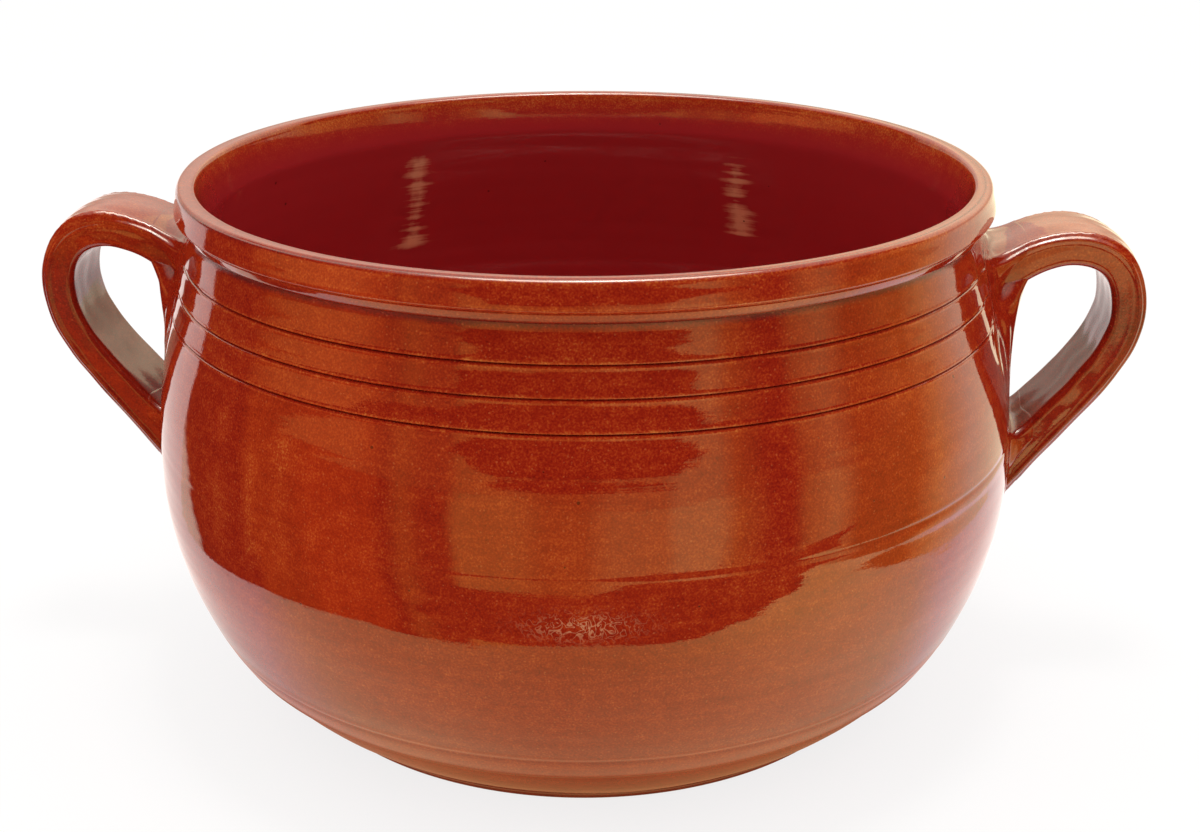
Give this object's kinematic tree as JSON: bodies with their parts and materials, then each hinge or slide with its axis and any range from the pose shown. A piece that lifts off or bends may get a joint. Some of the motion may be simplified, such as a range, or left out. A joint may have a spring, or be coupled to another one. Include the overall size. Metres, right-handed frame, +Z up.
{
  "type": "couscoussier",
  "caption": "Round-bellied glazed terracotta steamer pot with a collared rim, turned lines, a pierced base and strap handles, for steaming couscous over a stock pot.",
  "frame": {"origin": "centre of the foot, on the surface that the pot stands on", "axes": "+Z up through the mouth, X from the left handle to the right handle, -Y towards the front"},
  "size_m": [0.417, 0.326, 0.2],
  "materials": {
    "body_glaze": "clear honey glaze over red terracotta, glossy",
    "handle_glaze": "clear honey glaze over red terracotta, glossy",
    "luting_glaze": "clear honey glaze over red terracotta, glossy"
  },
  "bodies": {
    "root": {"thrown_body": "body_glaze", "left_handle": "handle_glaze", "right_handle": "handle_glaze", "left_upper_luting": "luting_glaze", "left_lower_luting": "luting_glaze", "right_upper_luting": "luting_glaze", "right_lower_luting": "luting_glaze"}
  },
  "joints": []
}
